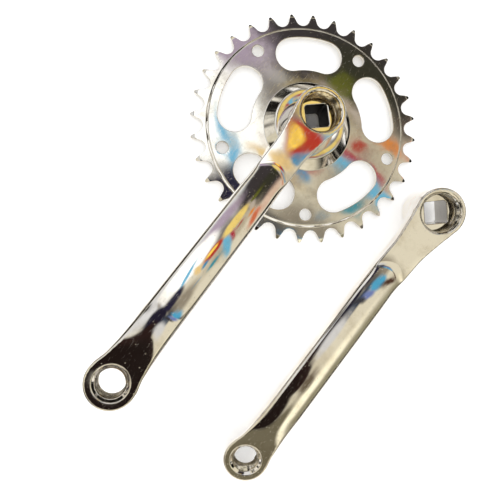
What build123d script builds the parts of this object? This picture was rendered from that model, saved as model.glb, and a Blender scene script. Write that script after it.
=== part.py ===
from build123d import *

import math
import os

# Bicycle crankset, laid down loose: a right crank with its chainring pressed on, and a left crank.
# Millimetres. The origin is the centre of the chainring's bolt circle, on the right crank's axis and
# in the middle plane of the teeth. +Z points outboard, away from the bicycle. The right arm runs
# along -Y. The set lies on the plane of the chainring's back, and the left crank leans on it.

# Chain and teeth
chain_pitch = 12.7            # half-inch roller chain
roller_diameter = 7.75
tooth_count = 32
tooth_height = 3.5            # from the pitch circle to the tip
seat_radius = 4.25            # radius of the gap that a roller sits in
flank_lean = 20.0             # degrees from the tooth's own centre line
tip_round = 0.85
tooth_bevel_length = 2.2      # bevel on both sides of each tip, along the tooth
tooth_bevel_depth = 0.8

# Chainring plate, one stamping of even thickness
plate_thickness = 3.0
rim_width = 1.71              # flat rim between the bottoms of the tooth gaps and the step
step_width = 1.2
step_height = 1.6             # the disc stands this far outboard of the rim
cup_base_radius = 26.0
cup_top_radius = 20.4
cup_height = 4.6              # the hub cup stands this far outboard of the disc
step_round = 0.9
cup_round = 1.8

# Holes and windows in the plate
hole_count = 5
bolt_hole_radius = 3.4
bolt_hole_web = 2.7           # left between each hole and the step
window_outer_web = 5.0        # left between each window and the step
window_inner_web = 7.5        # left between each window and the foot of the cup
window_half_angle = 13.6      # of the middle arc, between the centres of the round ends
plate_edge_break = 0.25

# Crank arms, the same forging for both hands
crank_length = 170.0          # crank axis to pedal axis
pedal_offset = 20.0           # the pedal eye's face stands this far outboard of the boss face
boss_radius = 13.9
boss_taper = 1.0              # lost from the radius at the inboard end
boss_length = 26.5
boss_rim_round = 0.7
boss_end_break = 0.5
eye_radius = 12.2
eye_thickness = 10.0
eye_side_depth = 3.0          # straight side under the face, before the eye tapers to its back
eye_taper = 2.6               # lost from the radius at the back
eye_rim_round = 1.2
eye_back_break = 0.4

# The bar between the boss and the eye
bar_half_width = 9.8
web_half_width = 9.4          # at the end of the flat web, where the bar starts to rise
web_length = 37.0             # from the crank axis to the bend
bar_thickness_at_boss = 12.2
bar_thickness_at_eye = 9.5
crown_below_face = 0.15       # the bar's crown lies just under the faces of the boss and the eye
crown_drop = 0.7              # the crown of the bar is this much higher than its shoulders
shoulder_round = 2.6
side_draft = 1.0              # each side leans in by this much towards the back
eye_draft = 2.4               # and by this much where it meets the eye
back_round = 1.6
boss_overlap = 11.0           # the bar starts this deep inside the boss
boss_margin = 1.4             # and stays this far within its side there
flare_length = 16.0           # beyond the boss, the web takes this long to reach its own width
neck_half_width = 10.2        # one millimetre inside the rim of the eye
eye_overlap = 8.2             # the bar ends this deep inside the eye
eye_margin = 1.2              # and stays this far within its side there
eye_flat_length = 15.0        # how far before the pedal axis the bar is level with the eye
bar_curve_length = 26.0       # the rise fades out over this length before the eye
bend_length = 5.0             # the rise starts over this length after the web

# Spindle socket: square taper with an M22 x 1 extractor thread outboard of it
extractor_radius = 11.0
extractor_depth = 7.8
extractor_chamfer = 0.8
socket_across_flats = 12.6    # at its small, outboard end
socket_taper = 2.0            # degrees, each side
socket_corner_round = 1.6

# Pedal thread, 9/16 inch x 20, right-hand on the right arm and left-hand on the left arm
pedal_thread_radius = 7.15
pedal_chamfer = 1.45
pedal_back_chamfer = 0.75

# Right crank's seat for the chainring
seat_shoulder = 0.7           # the spigot is this much smaller than the end of the boss
serration_count = 36
serration_depth = 0.35
peened_lip_height = 0.5       # above the spigot
peened_lip_length = 1.2
spigot_tail = 0.6             # stands out behind the lip

# Where the loose left crank lies
crank_gap = 4.3               # from the tips of the teeth to the boss
left_crank_y = 0.4            # centre of its boss face
left_crank_turn = -0.86       # degrees about +Z

# Sizes that follow
pitch_radius = chain_pitch / 2 / math.sin(math.pi / tooth_count)
root_radius = pitch_radius - roller_diameter / 2
tip_radius = pitch_radius + tooth_height
plate_back = -plate_thickness / 2
disc_face = plate_thickness / 2 + step_height
cup_face = disc_face + cup_height
rim_inner_radius = root_radius - rim_width
step_top_radius = rim_inner_radius - step_width
bolt_circle_radius = step_top_radius - bolt_hole_web - bolt_hole_radius
window_outer_radius = step_top_radius - window_outer_web
window_inner_radius = cup_base_radius + window_inner_web
hole_angle = 360 / hole_count
boss_end_radius = boss_radius - boss_taper
eye_back_radius = eye_radius - eye_taper
extractor_mouth_radius = extractor_radius + extractor_chamfer
pedal_mouth_radius = pedal_thread_radius + pedal_chamfer
pedal_back_mouth_radius = pedal_thread_radius + pedal_back_chamfer
spigot_radius = boss_end_radius - seat_shoulder
spigot_length = plate_thickness + peened_lip_length + spigot_tail
boss_end_height = cup_face - spigot_length
boss_face_height = boss_end_height + boss_length
left_crank_x = tip_radius + crank_gap + boss_radius


def at_angle(radius, degrees):
    """Point on a circle about the crank axis, the angle counted from the right arm's direction."""
    turn = math.radians(degrees - 90)
    return (radius * math.cos(turn), radius * math.sin(turn))


def tooth_outline():
    """Closed outline of all the teeth: a round seat, two leaning flanks and a rounded tip each."""
    step = 360 / tooth_count
    seat_centre = root_radius + seat_radius
    lean = math.radians(flank_lean)
    seat_x = seat_radius * math.cos(lean)
    seat_y = seat_centre - seat_radius * math.sin(lean)
    tip_centre = tip_radius - tip_round
    tip_x = tip_round * math.cos(lean)
    tip_y = tip_centre + tip_round * math.sin(lean)

    def turned(x, y, degrees):
        turn = math.radians(degrees)
        return (x * math.cos(turn) + y * math.sin(turn), x * math.sin(turn) - y * math.cos(turn))

    with BuildSketch() as outline:
        with BuildLine():
            for tooth in range(tooth_count):
                tip_angle = tooth * step
                gap_angle = tip_angle + step / 2
                next_angle = tip_angle + step
                tip_left = turned(-tip_x, tip_y, tip_angle)
                tip_right = turned(tip_x, tip_y, tip_angle)
                seat_left = turned(-seat_x, seat_y, gap_angle)
                seat_right = turned(seat_x, seat_y, gap_angle)
                ThreePointArc(tip_left, turned(0, tip_radius, tip_angle), tip_right)
                Line(tip_right, seat_left)
                ThreePointArc(seat_left, turned(0, root_radius, gap_angle), seat_right)
                Line(seat_right, turned(-tip_x, tip_y, next_angle))
        make_face()
    return outline.sketch


def plate_profile():
    """Half section of the stamped plate in the XZ plane, from the spigot out past the tooth tips."""
    cup_slope = math.atan2(cup_height, cup_base_radius - cup_top_radius)
    step_slope = math.atan2(step_height, step_width)
    cup_shift = plate_thickness * math.tan(cup_slope / 2)
    step_shift = plate_thickness * math.tan(step_slope / 2)
    disc_back = disc_face - plate_thickness
    cup_back = cup_face - plate_thickness
    bevel_start = tip_radius - tooth_bevel_length
    blank_radius = tip_radius + tip_round
    bevel_rise = tooth_bevel_depth * (blank_radius - bevel_start) / tooth_bevel_length
    bore = spigot_radius - 2 * serration_depth
    corners = [
        (bore, cup_face, 0),
        (cup_top_radius, cup_face, cup_round),
        (cup_base_radius, disc_face, step_round),
        (step_top_radius, disc_face, step_round),
        (rim_inner_radius, -plate_back, step_round / 2),
        (bevel_start, -plate_back, 0),
        (blank_radius, -plate_back - bevel_rise, 0),
        (blank_radius, plate_back + bevel_rise, 0),
        (bevel_start, plate_back, 0),
        (rim_inner_radius - step_shift, plate_back, step_round),
        (step_top_radius - step_shift, disc_back, step_round / 2),
        (cup_base_radius - cup_shift, disc_back, cup_round),
        (cup_top_radius - cup_shift, cup_back, step_round),
        (bore, cup_back, 0),
    ]
    with BuildSketch(Plane.XZ) as profile:
        with BuildLine():
            Polyline([(r, z) for r, z, _ in corners], close=True)
        make_face()
        for r, z, radius in corners:
            if radius > 0:
                here = profile.vertices().sort_by_distance(Vector(r, z))[0]
                fillet(here, radius)
    return profile.sketch


def serrated_disc(radius):
    """Disc with fine straight serrations, the shape of the spigot and of the bore pressed on it."""
    with BuildSketch() as disc:
        with BuildLine():
            points = []
            for tooth in range(serration_count):
                for part, depth in ((0.0, 0.0), (0.5, serration_depth)):
                    points.append(at_angle(radius - depth, (tooth + part) * 360 / serration_count))
            Polyline(points, close=True)
        make_face()
    return disc.sketch


def window_outline():
    """Five kidney-shaped windows, one of them in line with the right arm."""
    middle = (window_inner_radius + window_outer_radius) / 2
    width = window_outer_radius - window_inner_radius
    windows = Sketch()
    for index in range(hole_count):
        start = -90 + index * hole_angle - window_half_angle
        windows += SlotArc(CenterArc((0, 0), middle, start, 2 * window_half_angle), width)
    return windows


def bolt_hole_outline():
    """Round holes on the bolt circle, midway between the windows."""
    with BuildSketch() as holes:
        for index in range(hole_count):
            with Locations(at_angle(bolt_circle_radius, (index + 0.5) * hole_angle)):
                Circle(bolt_hole_radius)
    return holes.sketch


def chainring():
    """The stamped plate: toothed rim, raised disc with windows and holes, and the hub cup."""
    height = 4 * (cup_face - plate_back)
    lift = Pos(0, 0, -height / 2)
    plate = revolve(plate_profile(), Axis.Z)
    plate &= lift * extrude(tooth_outline(), height)
    plate -= lift * extrude(window_outline(), height)
    plate -= lift * extrude(bolt_hole_outline(), height)
    plate -= lift * extrude(serrated_disc(spigot_radius), height)
    rims = plate.edges().filter_by(GeomType.CIRCLE).filter_by(Plane.XY)
    return chamfer(rims.filter_by(on_cut_edge), plate_edge_break)


def on_cut_edge(edge):
    """True for the rims of the windows and bolt holes, on either face of the disc."""
    middle = edge.position_at(0.5)
    from_axis = math.hypot(middle.X, middle.Y)
    past_foot = cup_base_radius + window_inner_web / 2
    before_step = step_top_radius - bolt_hole_web / 2
    return past_foot < from_axis < before_step and edge.length < math.pi * step_top_radius


def bar_rise(distance):
    """How far the bar has risen from the boss face, at a distance from the crank axis."""
    rise_end = crank_length - eye_flat_length
    straight = rise_end - web_length - bend_length / 2 - bar_curve_length / 2
    slope = pedal_offset / straight
    along = distance - web_length
    left = rise_end - distance
    if along <= 0:
        return 0.0
    if left <= 0:
        return pedal_offset
    if along < bend_length:
        return slope * along * along / (2 * bend_length)
    if left < bar_curve_length:
        return pedal_offset - slope * left * left / (2 * bar_curve_length)
    return slope * (along - bend_length / 2)


def web_width(distance):
    """Half width of the flat web, which flares smoothly into the side of the boss."""
    wide = boss_radius - boss_margin
    share = min(1.0, (distance - boss_radius + boss_overlap) / (boss_overlap + flare_length))
    return wide - (wide - web_half_width) * share * share * (3 - 2 * share)


def bar_section(distance, half_width):
    """Cross section of the bar: crowned top, rounded shoulders, drafted sides and a flat back."""
    share = distance / crank_length
    thickness = bar_thickness_at_boss + (bar_thickness_at_eye - bar_thickness_at_boss) * share
    top = bar_rise(distance) - crown_below_face
    near_eye = max(0.0, 1 - (crank_length - eye_radius + eye_overlap - distance) / eye_flat_length)
    draft = side_draft + (eye_draft - side_draft) * near_eye
    plane = Plane(origin=(0, -distance, top), x_dir=(1, 0, 0), z_dir=(0, -1, 0))
    bend = math.sin(math.pi / 4)
    level = half_width - shoulder_round
    low = half_width - draft
    shoulder_drop = crown_drop + shoulder_round
    with BuildSketch(plane) as section:
        with BuildLine():
            ThreePointArc((-level, -crown_drop), (0, 0), (level, -crown_drop))
            ThreePointArc(
                (level, -crown_drop),
                (level + bend * shoulder_round, -shoulder_drop + bend * shoulder_round),
                (half_width, -shoulder_drop),
            )
            Line((half_width, -shoulder_drop), (low, -thickness + back_round))
            ThreePointArc(
                (low, -thickness + back_round),
                (low - (1 - bend) * back_round, -thickness + (1 - bend) * back_round),
                (low - back_round, -thickness),
            )
            Line((low - back_round, -thickness), (back_round - low, -thickness))
            ThreePointArc(
                (back_round - low, -thickness),
                ((1 - bend) * back_round - low, -thickness + (1 - bend) * back_round),
                (-low, -thickness + back_round),
            )
            Line((-low, -thickness + back_round), (-half_width, -shoulder_drop))
            ThreePointArc(
                (-half_width, -shoulder_drop),
                (-level - bend * shoulder_round, -shoulder_drop + bend * shoulder_round),
                (-level, -crown_drop),
            )
        make_face()
    return section.sketch


def bar():
    """The arm between the boss and the eye: flat web, bend, straight bar and level end."""
    web_start = boss_radius - boss_overlap
    bend_end = web_length + bend_length
    level_start = crank_length - eye_flat_length
    curve_start = level_start - bar_curve_length
    neck = crank_length - eye_radius + 1.0
    level_end = crank_length - eye_radius + eye_overlap
    web_step = (web_length - web_start) / 4
    web = [(web_start + step * web_step, web_width(web_start + step * web_step)) for step in range(5)]
    bend = [
        (web_length, web_half_width),
        (web_length + bend_length / 2, web_half_width),
        (bend_end, web_half_width),
    ]
    straight = [
        (bend_end, web_half_width),
        ((3 * bend_end + curve_start) / 4, bar_half_width),
        ((bend_end + curve_start) / 2, bar_half_width),
        (curve_start, bar_half_width),
    ]
    curve = [
        (curve_start, bar_half_width),
        (curve_start + bar_curve_length / 3, bar_half_width),
        (level_start - bar_curve_length / 3, bar_half_width),
        (level_start, bar_half_width),
    ]
    level = [
        (level_start, bar_half_width),
        (neck, neck_half_width),
        (level_end, eye_radius - eye_margin),
    ]
    whole = Part()
    for stations in (web, bend, straight, curve, level):
        whole += loft([bar_section(distance, half_width) for distance, half_width in stations])
    return whole


def socket():
    """Everything cut from the boss: the extractor bore with its mouth, and the square taper."""
    seat = -extractor_depth
    overrun = 1.0
    length = boss_length - extractor_depth + overrun
    mouth = extractor_chamfer
    small = socket_across_flats
    flare = small + 2 * length * math.tan(math.radians(socket_taper))
    with BuildPart() as cutter:
        with BuildSketch(Plane.XY.offset(seat)):
            RectangleRounded(small, small, socket_corner_round, rotation=45)
        with BuildSketch(Plane.XY.offset(-boss_length - overrun)):
            RectangleRounded(flare, flare, socket_corner_round, rotation=45)
        loft()
        with Locations((0, 0, seat / 2)):
            Cylinder(extractor_radius, extractor_depth)
        with Locations((0, 0, -mouth / 2)):
            Cone(extractor_radius, extractor_mouth_radius, mouth)
    return cutter.part


def pedal_hole():
    """Pedal thread's bore with a wide mouth on the outboard face and a small one at the back."""
    front = pedal_chamfer
    back = pedal_back_chamfer
    hole = Pos(0, 0, -eye_thickness / 2) * Cylinder(pedal_thread_radius, eye_thickness)
    hole += Pos(0, 0, -front / 2) * Cone(pedal_thread_radius, pedal_mouth_radius, front)
    hole += Pos(0, 0, back / 2 - eye_thickness) * Cone(pedal_back_mouth_radius, pedal_thread_radius, back)
    return Pos(0, -crank_length, pedal_offset) * hole


def boss():
    """Round boss, tapering inboard, with a rounded outer rim and a broken inner edge."""
    body = Pos(0, 0, -boss_length / 2) * Cone(boss_end_radius, boss_radius, boss_length)
    rims = body.edges().filter_by(GeomType.CIRCLE).sort_by(Axis.Z)
    body = fillet(rims[-1], boss_rim_round)
    rims = body.edges().filter_by(GeomType.CIRCLE).sort_by(Axis.Z)
    return chamfer(rims[0], boss_end_break)


def eye():
    """Round pedal eye with a rounded outer rim, tapering to its back."""
    taper_depth = eye_thickness - eye_side_depth
    body = Pos(0, 0, -eye_side_depth / 2) * Cylinder(eye_radius, eye_side_depth)
    body += Pos(0, 0, -eye_side_depth - taper_depth / 2) * Cone(eye_back_radius, eye_radius, taper_depth)
    rims = body.edges().filter_by(GeomType.CIRCLE).sort_by(Axis.Z)
    body = fillet(rims[-1], eye_rim_round)
    rims = body.edges().filter_by(GeomType.CIRCLE).sort_by(Axis.Z)
    return Pos(0, -crank_length, pedal_offset) * chamfer(rims[0], eye_back_break)


def crank_arm():
    """One arm in its own frame: boss face at z = 0, outboard up, the arm along -Y."""
    return boss() + bar() + eye() - socket() - pedal_hole()


def right_crank():
    """The arm, its boss end turned down to a serrated spigot and peened over behind the chainring."""
    arm = Pos(0, 0, boss_face_height) * crank_arm()
    sleeve = Pos(0, 0, boss_end_height) * extrude(Sketch() + Circle(boss_radius), spigot_length)
    spigot = Pos(0, 0, boss_end_height) * extrude(serrated_disc(spigot_radius), spigot_length)
    lip_top = cup_face - plate_thickness
    lip = Pos(0, 0, lip_top - peened_lip_length / 2) * Cone(
        spigot_radius - serration_depth, spigot_radius + peened_lip_height, peened_lip_length
    )
    lip_cut = Pos(0, 0, boss_face_height) * socket()
    return arm - (sleeve - spigot) + (lip - lip_cut)


def left_crank():
    """The arm laid down loose: it leans on its boss end and on the back of its pedal eye."""
    arm = crank_arm()
    drop = boss_length + pedal_offset - eye_thickness
    reach = crank_length + eye_back_radius - eye_back_break - boss_end_radius + boss_end_break
    tilt = math.atan2(drop, reach)
    foot = boss_length * math.cos(tilt) + (boss_end_radius - boss_end_break) * math.sin(tilt)
    place = Pos(left_crank_x, left_crank_y, plate_back + foot)
    return place * Rot(0, 0, left_crank_turn) * Rot(math.degrees(tilt), 0, 0) * arm


def main():
    os.makedirs("parts", exist_ok=True)
    pieces = {
        "chainring": chainring(),
        "right_crank_arm": right_crank(),
        "left_crank_arm": left_crank(),
    }
    for name, shape in pieces.items():
        export_step(shape, os.path.join("parts", name + ".step"))
        box = shape.bounding_box()
        print(name, "solids", len(shape.solids()), "volume", round(shape.volume), box.min, box.max)


main()
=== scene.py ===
import math
import bpy
import bmesh
import numpy as np
from mathutils import Matrix, Vector
from mathutils.geometry import delaunay_2d_cdt


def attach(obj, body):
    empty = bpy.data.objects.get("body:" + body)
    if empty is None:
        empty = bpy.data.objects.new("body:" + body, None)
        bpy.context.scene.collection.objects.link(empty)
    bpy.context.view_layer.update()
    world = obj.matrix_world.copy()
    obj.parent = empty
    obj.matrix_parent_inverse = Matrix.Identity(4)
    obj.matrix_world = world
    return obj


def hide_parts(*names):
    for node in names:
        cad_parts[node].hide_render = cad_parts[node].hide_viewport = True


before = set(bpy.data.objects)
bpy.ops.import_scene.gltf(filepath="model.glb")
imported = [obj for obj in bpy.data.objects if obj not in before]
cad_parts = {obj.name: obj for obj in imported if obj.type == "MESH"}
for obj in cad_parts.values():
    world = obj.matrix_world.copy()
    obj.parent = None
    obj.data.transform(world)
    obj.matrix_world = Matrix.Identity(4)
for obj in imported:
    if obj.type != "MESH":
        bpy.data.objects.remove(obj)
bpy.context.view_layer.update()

# A loose crankset: right crank with its chainring, and left crank, laid on a white floor.
# Sizes are in millimetres and become metres when a mesh is made.
mm = 0.001
print("frame loaded, nodes", sorted(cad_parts))


def linear(hexColour, alpha=1.0):  # an sRGB hex colour as linear values
    channels = [int(hexColour[i:i + 2], 16) / 255 for i in (1, 3, 5)]
    return tuple(c / 12.92 if c <= 0.04045 else ((c + 0.055) / 1.055) ** 2.4 for c in channels) + (alpha,)


def addNode(tree, kind, inputs=None, **settings):  # a node with its settings, values and links
    node = tree.nodes.new(kind)
    for name, value in settings.items():
        setattr(node, name, value)
    for key, value in (inputs or {}).items():
        if isinstance(value, bpy.types.NodeSocket):
            tree.links.new(value, node.inputs[key])
        else:
            node.inputs[key].default_value = value
    return node


def meshFrom(name, points, faces):  # points in millimetres
    mesh = bpy.data.meshes.new(name)
    mesh.from_pydata((np.asarray(points) * mm).tolist(), [], faces)
    mesh.validate()
    return mesh


def finishPiece(name, mesh, material, body):  # smooth, with its metal, riding on its body
    mesh.polygons.foreach_set("use_smooth", [True] * len(mesh.polygons))
    mesh.materials.clear()
    mesh.materials.append(material)
    piece = bpy.data.objects.new(name, mesh)
    bpy.context.scene.collection.objects.link(piece)
    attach(piece, body)
    return piece


ring = dict(
    teeth=32, pitch=12.7, roller=7.75, toothHeight=3.5, seat=4.25, flankLean=20.0, tipRound=0.85,
    bevelLength=2.2, bevelDepth=0.8,
    plate=3.0, rimWidth=1.71, stepWidth=1.2, stepHeight=1.6, stepRound=0.9,
    cupBase=26.0, cupTop=20.4, cupHeight=4.6, cupRound=1.8, bore=12.2,
    panels=5, holeRadius=3.4, holeWeb=2.7, windowOuterWeb=5.0, windowInnerWeb=7.5, windowHalfAngle=13.6,
    edgeRound=0.35, toothEdge=0.14, weld=0.004, bevelBend=0.25, flatMargin=2.0, rimMargin=0.8,
)
ring["pitchRadius"] = ring["pitch"] / 2 / math.sin(math.pi / ring["teeth"])
ring["root"] = ring["pitchRadius"] - ring["roller"] / 2
ring["tip"] = ring["pitchRadius"] + ring["toothHeight"]
ring["rimInner"] = ring["root"] - ring["rimWidth"]
ring["stepTop"] = ring["rimInner"] - ring["stepWidth"]
ring["holeCircle"] = ring["stepTop"] - ring["holeWeb"] - ring["holeRadius"]
ring["back"] = -ring["plate"] / 2
ring["discFace"] = ring["plate"] / 2 + ring["stepHeight"]
ring["cupFace"] = ring["discFace"] + ring["cupHeight"]
ring["discInner"] = ring["cupBase"] + ring["flatMargin"]  # the flat disc lies between the cup
ring["discOuter"] = ring["stepTop"] - ring["flatMargin"]  # and the step
ring["rimEdge"] = ring["rimInner"] + ring["rimMargin"]  # where the rim ends and the teeth begin
columnsPerTooth = 15
columnStep = 360 / ring["teeth"] / columnsPerTooth
panelColumns = ring["teeth"] * columnsPerTooth // ring["panels"]
panelStart = -29.625                           # degrees, in the web between a window and a bolt hole


def onCircle(radius, degrees):  # counted from the arm's direction, -Y
    turn = np.radians(np.asarray(degrees) - 90)
    return np.stack([radius * np.cos(turn), radius * np.sin(turn)], -1)


def roundedPath(corners, steps=7):  # (r, z, rounding) corners to a smooth line of (r, z) points
    path = []
    for i, (r, z, rounding) in enumerate(corners):
        here = Vector((r, z))
        if not rounding:
            path.append(here)
            continue
        before = (Vector(corners[i - 1][:2]) - here).normalized()
        after = (Vector(corners[i + 1][:2]) - here).normalized()
        half = before.angle(after) / 2
        centre = here + (before + after).normalized() * rounding / math.sin(half)
        start = here + before * rounding / math.tan(half) - centre
        end = here + after * rounding / math.tan(half) - centre
        for k in range(steps + 1):
            share = k / steps
            arm = start.lerp(end, share).normalized() * rounding
            path.append(centre + arm)
    return [(p.x, p.y) for p in path]


def pressedPaths():  # top and bottom lines of the stamping, split where the flat disc lies
    stepTurn = math.atan2(ring["stepHeight"], ring["stepWidth"])
    cupTurn = math.atan2(ring["cupHeight"], ring["cupBase"] - ring["cupTop"])
    stepShift = ring["plate"] * math.tan(stepTurn / 2)
    cupShift = ring["plate"] * math.tan(cupTurn / 2)
    face, cup, back = ring["discFace"], ring["cupFace"], ring["back"]
    under, low = face - ring["plate"], cup - ring["plate"]
    small = ring["stepRound"] / 2
    cupTopLine = roundedPath([
        (ring["bore"], cup, 0), (ring["cupTop"], cup, ring["cupRound"]),
        (ring["cupBase"], face, ring["stepRound"]), (ring["discInner"], face, 0)])
    cupUnderLine = roundedPath([
        (ring["bore"], low, 0), (ring["cupTop"] - cupShift, low, ring["stepRound"]),
        (ring["cupBase"] - cupShift, under, ring["cupRound"]), (ring["discInner"], under, 0)])
    stepTopLine = roundedPath([
        (ring["discOuter"], face, 0), (ring["stepTop"], face, ring["stepRound"]),
        (ring["rimInner"], -back, small), (ring["rimEdge"], -back, 0)])
    stepUnderLine = roundedPath([
        (ring["discOuter"], under, 0), (ring["stepTop"] - stepShift, under, small),
        (ring["rimInner"] - stepShift, back, ring["stepRound"]), (ring["rimEdge"], back, 0)])
    return cupTopLine, cupUnderLine, stepTopLine, stepUnderLine


class Shell:  # gathers points and faces of one mesh
    def __init__(self):
        self.points, self.faces = [], []

    def rows(self, rows, flip=False, closed=False):  # a grid of quads through rows of points
        start, width = len(self.points), len(rows[0])
        for row in rows:
            self.points.extend(tuple(p) for p in row)
        for i in range(len(rows) - 1):
            for j in range(width if closed else width - 1):
                k = (j + 1) % width
                quad = [start + i * width + j, start + i * width + k,
                        start + (i + 1) * width + k, start + (i + 1) * width + j]
                self.faces.append(quad[::-1] if flip else quad)

    def flat(self, points2d, triangles, height, flip=False):  # height is a number or a rule of (x, y)
        start = len(self.points)
        for x, y in points2d:
            z = height(x, y) if callable(height) else height
            self.points.append((x, y, z))
        for t in triangles:
            self.faces.append([start + v for v in (t[::-1] if flip else t)])


sliver = 1e-4  # square millimetres, below which a triangle is left out
touching = 1e-4  # millimetres, within which a corner lies on a circle


def fillFlat(loops, openLines, keep):  # triangles of a flat area with holes; keep is a test of a centre
    points, edges = [], []
    for loop in loops:
        first = len(points)
        points.extend(Vector(p) for p in loop)
        edges.extend((first + i, first + (i + 1) % len(loop)) for i in range(len(loop)))
    for line in openLines:
        first = len(points)
        points.extend(Vector(p) for p in line)
        edges.extend((first + i, first + i + 1) for i in range(len(line) - 1))
    made = delaunay_2d_cdt(points, edges, [], 0, 1e-7)
    corners, triangles = made[0], []
    for t in made[2]:
        a, b, c = (corners[v] for v in t)
        area = (b - a).cross(c - a) / 2
        if abs(area) > sliver and keep((a + b + c) / 3, (a, b, c)):
            triangles.append(list(t) if area > 0 else list(t)[::-1])
    return [(p.x, p.y) for p in corners], triangles


def windowLoop(grow):  # kidney-shaped slot along an arc, grown outwards by grow
    inner = ring["cupBase"] + ring["windowInnerWeb"]
    outer = ring["stepTop"] - ring["windowOuterWeb"]
    middle, half = (inner + outer) / 2, (outer - inner) / 2 + grow
    ends = ring["windowHalfAngle"]
    loop = [onCircle(middle + half, a) for a in np.linspace(-ends, ends, 30)]
    for side, angle in ((1, ends), (-1, -ends)):
        centre = onCircle(middle, angle)
        base = math.radians(angle - 90)
        turns = (0 if side > 0 else math.pi) + np.linspace(0, math.pi, 27)[1:-1]
        cap = [centre + half * np.array([math.cos(base + t), math.sin(base + t)]) for t in turns]
        if side > 0:
            loop += cap + [onCircle(middle - half, a) for a in np.linspace(ends, -ends, 26)]
        else:
            loop += cap
    return loop


def holeLoop(grow):
    centre = onCircle(ring["holeCircle"], 180 / ring["panels"])
    turns = np.linspace(0, 2 * math.pi, 48, endpoint=False)
    return [centre + (ring["holeRadius"] + grow) * np.array([math.cos(t), math.sin(t)]) for t in turns]


def edgeSteps(rounding, steps=4):  # pairs of inward growth and drop round a quarter circle
    return [(rounding * (1 - math.sin(t)), rounding * (1 - math.cos(t)))
            for t in np.linspace(0, math.pi / 2, steps + 1)]


def cutWall(shell, loopAt, top, bottom, rounding):  # rounded edge, wall and rounded edge of a cut hole
    quarter = edgeSteps(rounding)
    rows = [[(x, y, top - drop) for x, y in loopAt(grow)] for grow, drop in quarter]
    rows += [[(x, y, bottom + drop) for x, y in loopAt(grow)] for grow, drop in quarter[::-1]]
    shell.rows(rows, closed=True)


def panelMesh():  # one fifth of the stamping inside the teeth: cup, disc with a window and a hole, step
    shell = Shell()
    angles = panelStart + columnStep * np.arange(panelColumns + 1)
    cupTop, cupUnder, stepTop, stepUnder = pressedPaths()
    for path, flip in ((cupTop, True), (cupUnder, False), (stepTop, True), (stepUnder, False)):
        shell.rows([[(*onCircle(r, a), z) for a in angles] for r, z in path], flip=not flip)
    shell.rows([[(*onCircle(ring["bore"], a), z) for a in angles]
                for z in (ring["cupFace"], ring["cupFace"] - ring["plate"])], flip=True)
    inner, outer, e = ring["discInner"], ring["discOuter"], ring["edgeRound"]
    sideRadii = np.linspace(inner, outer, 16)
    border = [onCircle(inner, a) for a in angles]
    border += [onCircle(r, angles[-1]) for r in sideRadii[1:]]
    border += [onCircle(outer, a) for a in angles[-2::-1]]
    border += [onCircle(r, angles[0]) for r in sideRadii[-2:0:-1]]
    middle = (inner + outer) / 2
    holeCentre = Vector(onCircle(ring["holeCircle"], 180 / ring["panels"]))
    windowInner = ring["cupBase"] + ring["windowInnerWeb"]
    windowOuter = ring["stepTop"] - ring["windowOuterWeb"]
    windowMiddle, windowHalf = (windowInner + windowOuter) / 2, (windowOuter - windowInner) / 2 + e

    def keep(centre, corners):
        if all(c.length < inner + touching for c in corners):
            return False
        if (centre - holeCentre).length < ring["holeRadius"] + e:
            return False
        angle = math.degrees(math.atan2(centre.y, centre.x)) + 90
        nearest = max(-ring["windowHalfAngle"], min(ring["windowHalfAngle"], angle))
        return (centre - Vector(onCircle(windowMiddle, nearest))).length > windowHalf - 0.02

    # the rounded edges start e outside the cut itself
    points, triangles = fillFlat([border, windowLoop(e), holeLoop(e)], [], keep)
    shell.flat(points, triangles, ring["discFace"])
    shell.flat(points, triangles, ring["discFace"] - ring["plate"], flip=True)
    for loopAt in (windowLoop, holeLoop):
        cutWall(shell, loopAt, ring["discFace"], ring["discFace"] - ring["plate"], e)
    return meshFrom("ringPanel", shell.points, shell.faces)


def toothLine(inset):  # outline of one tooth from gap to gap, moved into the metal by inset
    lean = math.radians(ring["flankLean"])
    half = 180 / ring["teeth"]
    seatCentre = ring["root"] + ring["seat"]
    tipCentre = ring["tip"] - ring["tipRound"]
    seatRadius, tipRadius = ring["seat"] + inset, ring["tipRound"] - inset

    def turned(x, y, degrees):
        t = math.radians(degrees)
        return (x * math.cos(t) + y * math.sin(t), x * math.sin(t) - y * math.cos(t))

    line = []
    for t in np.linspace(0, math.pi / 2 - lean, 13):       # from the bottom of the gap up its seat
        line.append(turned(seatRadius * math.sin(t), seatCentre - seatRadius * math.cos(t), -half))
    tip = [turned(-tipRadius * math.cos(t), tipCentre + tipRadius * math.sin(t), 0)
           for t in np.linspace(lean, math.pi / 2, 8)]
    flank = [Vector(line[-1]).lerp(Vector(tip[0]), s) for s in np.linspace(0, 1, 8)[1:-1]]
    line += [tuple(p) for p in flank] + tip
    return line + [(-x, y) for x, y in line[-2::-1]]


def toothHeightRule(sign):  # flat rim, then a bevel on both sides of the tip
    start = ring["tip"] - ring["bevelLength"]
    slope = ring["bevelDepth"] / ring["bevelLength"]

    def height(x, y):
        over = math.hypot(x, y) - start
        soft = ring["bevelBend"]  # the bevel starts with a soft bend
        drop = 0 if over < -soft else slope * ((over + soft) ** 2 / (4 * soft) if over < soft else over)
        return sign * (ring["plate"] / 2 - drop)
    return height


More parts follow.
